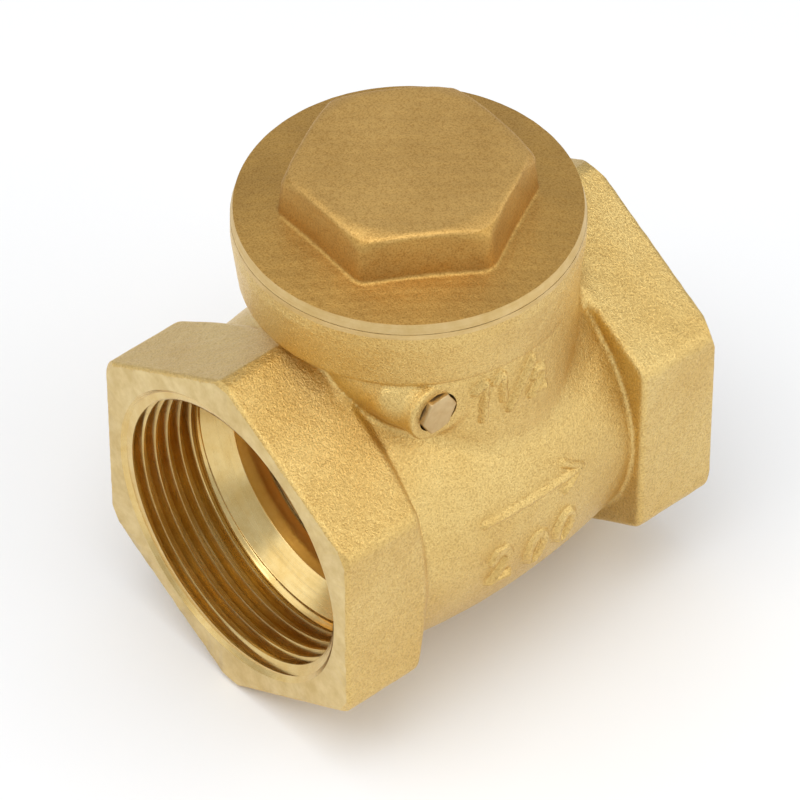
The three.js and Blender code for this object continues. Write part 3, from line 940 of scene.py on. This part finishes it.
def cap_faces(centres, normals):
    """0 cast top, 1 turned rim, 2 threads and hollow, 3 plate and sides of the hexagon. 0 and 3
    take darker copies of the cast brass that paint in shade, and 3 is the darker of the two.
    """
    x, y, z = centres[:, 0] / MM - NECK_X, centres[:, 1] / MM, centres[:, 2] / MM - AXIS_Z
    rho = np.hypot(x, y)
    numbers = np.zeros(len(x), int)
    outward = (normals[:, 0] * x + normals[:, 1] * y) / np.maximum(rho, 1e-6)
    numbers[(z < cap_high[2] - 0.9) | (normals[:, 2] < 0.4)] = 3
    numbers[(rho > 25.2) & (outward > 0.75)] = 1
    numbers[normals[:, 2] < -0.5] = 2
    numbers[z < SEAM_TOP - 0.01] = 2
    numbers[(rho < 18.7) & (z < 43.2)] = 2
    return numbers


def cap_outline():
    """The solid that turns the cap's rim and trims its plate."""
    return lathe("rim", [
        (0, 42), (25.9, 42), (25.9, SEAM_TOP + 0.12), (25.85, SEAM_TOP + 0.25),
        (25.5, 45.3), (24.6, 46.9), (24.6, 60), (0, 60),
    ], about_z, 192)


def cap_skirt():
    """The cap's threaded skirt, and the plain neck that joins it to the plate."""
    skirt = threaded_core("skirt", about_z, 42.6, cap_low[2], CAP_PITCH, 22.45, 21.55)
    plain = lathe("cap_neck", [(0, 41.5), (22.2, 41.5), (22.2, 44.5), (0, 44.5)], about_z, 160)
    return skirt, plain


def cap_cuts():
    """The hollow inside the cap, and the lead-in at the bottom of its thread."""
    bottom = cap_low[2]
    hollow = lathe("hollow", soften([
        (0, bottom - 1), (18.6, bottom - 1), (18.6, 43), (12, 43), (11, 49.6), (0, 49.6),
    ], 0.8), about_z, 128)
    lead = lathe("lead", [
        (21.0, bottom - 0.5), (25, bottom - 0.5), (25, bottom + 2), (22.6, bottom + 1.2),
        (21.3, bottom),
    ], about_z, 160, ring=True)
    return hollow, lead


def cap_piece(materials):
    reach = 28.4
    low = np.array([NECK_X - reach, -reach, 40.2])
    high = np.array([NECK_X + reach, reach, cap_high[2] + 0.8])
    cap = mesh_object("cap_casting", *surface_net(cap_casting, low, high, CAST_STEP * 0.8))
    underside = [(0, 30), (40, 30), (40, SEAM_TOP), (0, SEAM_TOP)]
    combine(cap, "INTERSECT", cap_outline())
    combine(cap, "DIFFERENCE", lathe("underside", underside, about_z, 48))
    combine(cap, "UNION", *cap_skirt())
    combine(cap, "DIFFERENCE", *cap_cuts())
    put_in_row(cap, "cap", "cap")
    paint(cap, [materials[kind] for kind in ("cap", "rim", "thread", "plate")], cap_faces)


# ---------------------------------------------------------------- hinge plug

def plug_piece(materials):
    half_flat = (plug_high[2] - plug_low[2]) / 2 - 0.25
    shank_radius, head_floor = 3.2, -19

    def field(x, y, z):
        tilt = 0.12 * (x - PIN_X + 3) * 0.5
        outline = hexagon(x - PIN_X, z - PIN_Z, half_flat, 0.35)
        head = block(outline, np.maximum(plug_low[1] - y + tilt, y - head_floor), 0.2)
        middle = np.hypot(x - PIN_X, z - PIN_Z) - shank_radius
        shank = block(middle, np.maximum(-20.5 - y, y - plug_high[1]), 0.3)
        uneven = 0.04 * np.sin(2.2 * x + 0.8 * z) * np.sin(2.3 * z) * (y < -21)
        return np.minimum(head, shank) + uneven

    low = np.array([PIN_X - 4.2, plug_low[1] - 0.5, PIN_Z - 4.2])
    high = np.array([PIN_X + 4.2, plug_high[1] + 0.5, PIN_Z + 4.2])
    plug = mesh_object("hinge_plug_turned", *surface_net(field, low, high, 0.15))
    put_in_row(plug, "body", "hinge_plug")
    paint(plug, [materials["ground"]])


# ---------------------------------------------------------------- pin, arm, disc and small pieces

def turned_piece(name, node, body, material, profile, about, radius=0.2, ring=False):
    """A turned piece with softened corners that stands for a CAD node."""
    outline = soften(profile + profile[:1], radius)[:-1] if ring else soften(profile, radius)
    piece = lathe(name, outline, about, 96, ring)
    put_in_row(piece, body, node)
    paint(piece, [material])


def ring_piece(name, node, body, material, about, axis, inner, radius=0.12):
    """A flat ring between a CAD node's two faces, as wide as the node."""
    low, high = node_box(node)
    outer = (high[1] - low[1]) / 2
    profile = [(inner, low[axis]), (outer, low[axis]), (outer, high[axis]), (inner, high[axis])]
    turned_piece(name, node, body, material, profile, about, radius, ring=True)


def swing_arm(materials):
    low, high = node_box("swing_arm")
    front, back, half_width, edge = -10.3, -6.9, 4.5, 0.7
    bend_x, bend_z = -8.8, 17

    def field(x, y, z):
        across = np.abs(y) - half_width
        thick = np.maximum(front - x, x - back)
        bar = block(np.maximum(thick, np.maximum(-z, z - 21)), across, edge)
        dx, dz = PIN_X - bend_x, PIN_Z - bend_z
        t = ((x - bend_x) * dx + (z - bend_z) * dz) / (dx * dx + dz * dz)
        t = np.clip(t, 0, 1)
        link = block(np.hypot(x - bend_x - t * dx, z - bend_z - t * dz) - 1.9, across, edge)
        eye = block(np.hypot(y, z) - 7, thick, 0.5)
        knuckle = block(np.hypot(x - PIN_X, z - PIN_Z) - 4.2, np.abs(y) - high[1], 0.5)
        shape = filleted(filleted(np.minimum(bar, link), eye, 1.5), knuckle, 1)
        return np.maximum(shape, front - x - 20 * (z > 19)) - 0.5 * waviness(x, y, z)

    arm = mesh_object("swing_arm_casting", *surface_net(field, low - 1, high + 1, 0.32))
    stud_hole = lathe("stud_hole", [(0, -12), (3.4, -12), (3.4, -5), (0, -5)], about_x, 64)
    pin_hole = rod("arm_pin_hole", PIN_HOLE_RADIUS, low[1] - 1, high[1] + 1)
    combine(arm, "DIFFERENCE", pin_hole, stud_hole)
    put_in_row(arm, "arm", "swing_arm")
    # The arm takes the cap's darker brass, whose dark tone is painted shade.
    paint(arm, [materials["cap"]])


def disc_piece(materials):
    face, stud_end = disc_low[0], disc_high[0]
    radius = (disc_high[1] - disc_low[1]) / 2
    groove, back, stud = -12.6, -10.6, 3
    disc = lathe("disc_turned", soften([
        (0, -15), (6.1, -15), (6.1, groove), (radius - 0.9, groove), (radius - 0.4, face + 0.3),
        (radius, face + 0.3), (radius, back - 1), (radius - 1.5, back), (stud, back),
        (stud, stud_end - 0.6), (2.4, stud_end), (0, stud_end),
    ], 0.25), about_x, 160)
    hole = lathe("screw_hole", [(0, -16), (2, -16), (2, -8), (0, -8)], about_x, 48)
    cotter_x = stud_end - 1.4

    def about_cotter(r, angle, along):
        return cotter_x + r * np.cos(angle), along, r * np.sin(angle)

    cross_hole = lathe("cross_hole", [(0, -5), (0.8, -5), (0.8, 5), (0, 5)], about_cotter, 24)
    combine(disc, "DIFFERENCE", hole, cross_hole)
    put_in_row(disc, "disc", "disc")
    paint(disc, [materials["face"]])


def retainer_screw(materials):
    low, high = node_box("retainer_screw")
    head, tip = low[0], high[0]
    screw = lathe("retainer_screw_turned", soften([
        (0, head), (2.6, head + 0.1), (4.2, head + 0.9), (4.2, head + 1.6), (1.7, head + 1.6),
        (1.7, tip - 0.4), (1.3, tip), (0, tip),
    ], 0.25), about_x, 64)

    def about_slot(r, angle, along):
        return head + 2 * r * np.cos(angle), r * np.sin(angle), along

    slot = lathe("screw_slot", [(0, -5), (0.45, -5), (0.45, 5), (0, 5)], about_slot, 4)
    combine(screw, "DIFFERENCE", slot)
    put_in_row(screw, "disc", "retainer_screw")
    paint(screw, [materials["steel"]])


def stud_nut(materials):
    low, high = node_box("stud_nut")
    middle, half = (low[0] + high[0]) / 2, (high[0] - low[0]) / 2

    def field(x, y, z):
        sides = hexagon(z, y, 5, 0.25)
        cone = (np.hypot(y, z) - 5.1 + (np.abs(x - middle) - half) * 1.73) * 0.5
        return np.maximum(block(sides, np.abs(x - middle) - half, 0.15), cone)

    nut = mesh_object("stud_nut_turned", *surface_net(field, low - 0.8, high + 0.8, 0.2))
    near, far = low[0] - 1, high[0] + 1
    hole = lathe("nut_hole", [(0, near), (3.3, near), (3.3, far), (0, far)], about_x, 48)
    combine(nut, "DIFFERENCE", hole)
    put_in_row(nut, "disc", "stud_nut")
    paint(nut, [materials["face"]])


def cotter_path(low, high):
    """The run of the split pin's wire: up one leg, round the eye and down the other."""
    x, eye_y, side = (low[0] + high[0]) / 2, high[1] - 1.9, 0.27
    path = [(x, low[1] + 0.2, -side - 0.25), (x, low[1] + 1.8, -side)]
    turn = np.linspace(-2.75, 2.75, 22)
    path += [(x, eye_y + 1.3 * math.cos(a), 1.3 * math.sin(a)) for a in turn]
    return np.array(path + [(x, low[1] + 2.0, side), (x, low[1] + 0.6, side + 0.25)])


def cotter_pin(materials, wire=0.26, sides=12):
    """A split pin, as one wire of that radius."""
    path = cotter_path(*node_box("cotter_pin"))
    ahead = np.gradient(path, axis=0)
    ahead /= np.linalg.norm(ahead, axis=1)[:, None]
    across = np.tile([1.0, 0, 0], (len(path), 1))
    upright = np.cross(ahead, across)
    angles = np.linspace(0, 2 * np.pi, sides, endpoint=False)
    points = [
        p + wire * (math.cos(a) * across[i] + math.sin(a) * upright[i])
        for i, p in enumerate(path) for a in angles
    ]
    faces = []
    for start in range(0, (len(path) - 1) * sides, sides):
        for j in range(sides):
            k = (j + 1) % sides
            faces.append([start + j, start + k, start + sides + k, start + sides + j])
    last = (len(path) - 1) * sides
    faces += [list(range(sides - 1, -1, -1)), list(range(last, last + sides))]
    pin = mesh_object("cotter_pin_wire", points, outwards(points, faces))
    put_in_row(pin, "disc", "cotter_pin")
    paint(pin, [materials["steel"]])


def small_pieces(materials):
    steel, turned = materials["steel"], materials["face"]
    near, far, end = pin_low[1], pin_high[1], 0.5
    turned_piece("hinge_pin_rod", "hinge_pin", "body", steel, [
        (0, near), (1.9, near), (2.4, near + end), (2.4, far - end), (1.9, far), (0, far),
    ], about_y)
    ring_piece(
        "cap_gasket_ring", "cap_gasket", "gasket", materials["fibre"], about_z, 2, 22.9
    )
    ring_piece(
        "disc_seal_ring", "disc_seal", "disc", materials["rubber"],
        about_x, 0, 6.4, 0.35,
    )
    ring_piece(
        "seal_retainer_plate", "seal_retainer", "disc", turned,
        about_x, 0, 2.2, 0.2,
    )
    ring_piece("stud_washer_ring", "stud_washer", "disc", steel, about_x, 0, 3.3)
    swing_arm(materials)
    disc_piece(materials)
    retainer_screw(materials)
    stud_nut(materials)
    cotter_pin(materials)


# ---------------------------------------------------------------- stage, light and camera

WORLD_COLOR = (0.95, 0.97, 1.0, 1)
WORLD_STRENGTH = 0.64
LAMP_DISTANCE = 1.0
LAMPS = (  # name, bearing, elevation, size in metres, power in watts
    ("front", 31, 28, (1.1, 0.7), 3.0),
    ("left", -115, 35, (0.8, 0.6), 1.3),
    ("overhead", -66, 72, (0.8, 0.8), 4.4),
)
CAMERA_AZIMUTH, CAMERA_ELEVATION, CAMERA_ROLL = -40.869, 44.418, -0.159
CAMERA_PLACE = (-450.63, -518.19, 677.87 + AXIS_Z)  # in millimetres
CAMERA_LENS = 289.83


def floor_piece():
    bpy.ops.mesh.primitive_plane_add(size=4, location=(0, 0, 0))
    floor = bpy.context.object
    floor.name = "floor"
    material, tree, shader = new_material("pale_floor")
    tones = ramp(tree, noise(tree, 90, 2), (0.3, grey(0.93)), (0.7, grey(0.95)))
    tree.links.new(tones, shader.inputs["Base Color"])
    shader.inputs["Roughness"].default_value = 0.9
    shader.inputs["Specular IOR Level"].default_value = 0.1
    floor.data.materials.append(material)


def looking_back(azimuth, elevation):
    """The direction from the valve to something at that bearing, given as the camera's are."""
    a, e = math.radians(azimuth), math.radians(elevation)
    return Vector((math.sin(a) * math.cos(e), -math.cos(a) * math.cos(e), math.sin(e)))


def soft_light(name, azimuth, elevation, size, power):
    """An area light that looks at the valve from LAMP_DISTANCE away."""
    data = bpy.data.lights.new(name, "AREA")
    data.shape = "RECTANGLE"
    data.size, data.size_y = size
    data.energy = power
    lamp = bpy.data.objects.new(name, data)
    back = looking_back(azimuth, elevation)
    lamp.location = Vector((0, 0, AXIS_Z * MM)) + back * LAMP_DISTANCE
    lamp.rotation_euler = back.to_track_quat("Z", "Y").to_euler()
    bpy.context.scene.collection.objects.link(lamp)


def studio():
    scene = bpy.context.scene
    scene.view_settings.view_transform = "Standard"
    world = bpy.data.worlds.new("studio")
    world.use_nodes = True
    background = world.node_tree.nodes["Background"]
    background.inputs["Color"].default_value = WORLD_COLOR
    background.inputs["Strength"].default_value = WORLD_STRENGTH
    scene.world = world
    for lamp in LAMPS:
        soft_light(*lamp)


def camera():
    """The camera that was fitted to the photo."""
    roll = math.radians(CAMERA_ROLL)
    place = Vector(CAMERA_PLACE) * MM
    back = looking_back(CAMERA_AZIMUTH, CAMERA_ELEVATION)
    level = (-back).cross(Vector((0, 0, 1))).normalized()
    rise = level.cross(-back)
    right = math.cos(roll) * level + math.sin(roll) * rise
    up = math.cos(roll) * rise - math.sin(roll) * level
    data = bpy.data.cameras.new("camera")
    data.lens = CAMERA_LENS
    data.sensor_width = 36
    data.clip_start, data.clip_end = 0.05, 20
    made = bpy.data.objects.new("camera", data)
    turn = Matrix((right, up, back)).transposed().to_4x4()
    made.matrix_world = Matrix.Translation(place) @ turn
    bpy.context.scene.collection.objects.link(made)
    bpy.context.scene.camera = made


camera()
floor_piece()
studio()
materials = make_materials()
valve_body(materials)
cap_piece(materials)
plug_piece(materials)
small_pieces(materials)
